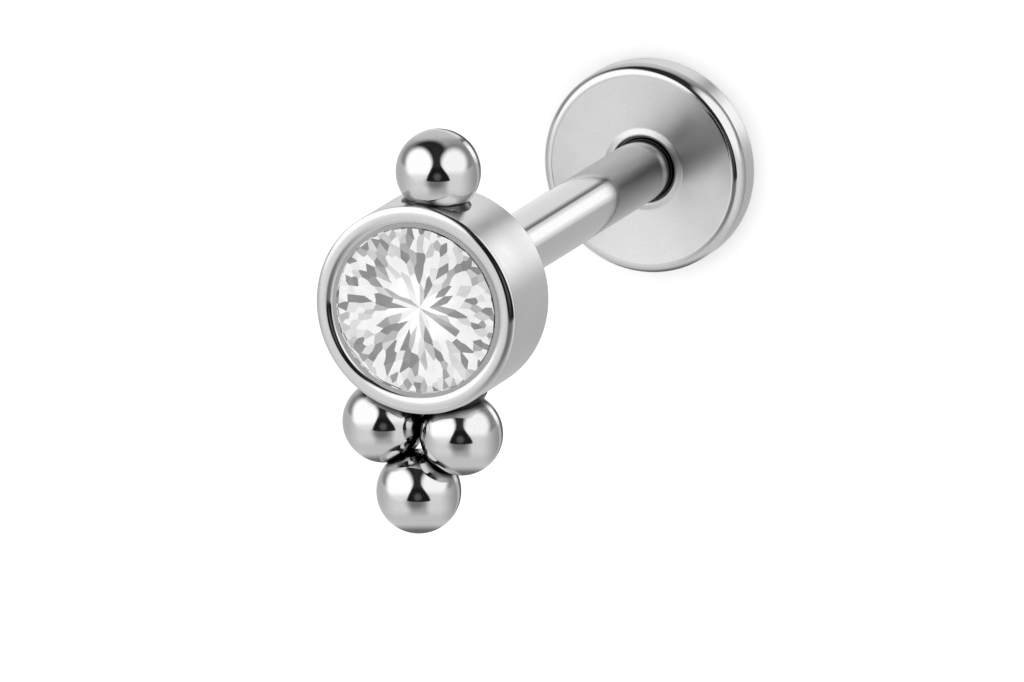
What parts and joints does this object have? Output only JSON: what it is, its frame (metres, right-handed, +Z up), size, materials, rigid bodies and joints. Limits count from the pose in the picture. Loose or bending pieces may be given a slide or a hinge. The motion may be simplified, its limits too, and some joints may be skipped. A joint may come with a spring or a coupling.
{
  "type": "labret stud",
  "caption": "Flat-back labret stud: a round clear stone in a bezel with soldered beads, on a straight barrel that ends in a dished disc.",
  "frame": {"origin": "middle of the disc's flat back face, on which the stud stands", "axes": "+Z up the barrel to the stone, +Y to the single bead, the three other beads on the -Y side"},
  "size_m": [0.0042, 0.0079, 0.0126],
  "materials": {
    "satin_steel": "satin, with a polished rim",
    "barrel_steel": "fine satin",
    "polished_steel": "mirror polished",
    "clear_stone": "faceted and polished"
  },
  "bodies": {
    "root": {"back_disc": "satin_steel", "post": "barrel_steel", "setting_head": "polished_steel", "stone": "clear_stone"}
  },
  "joints": []
}
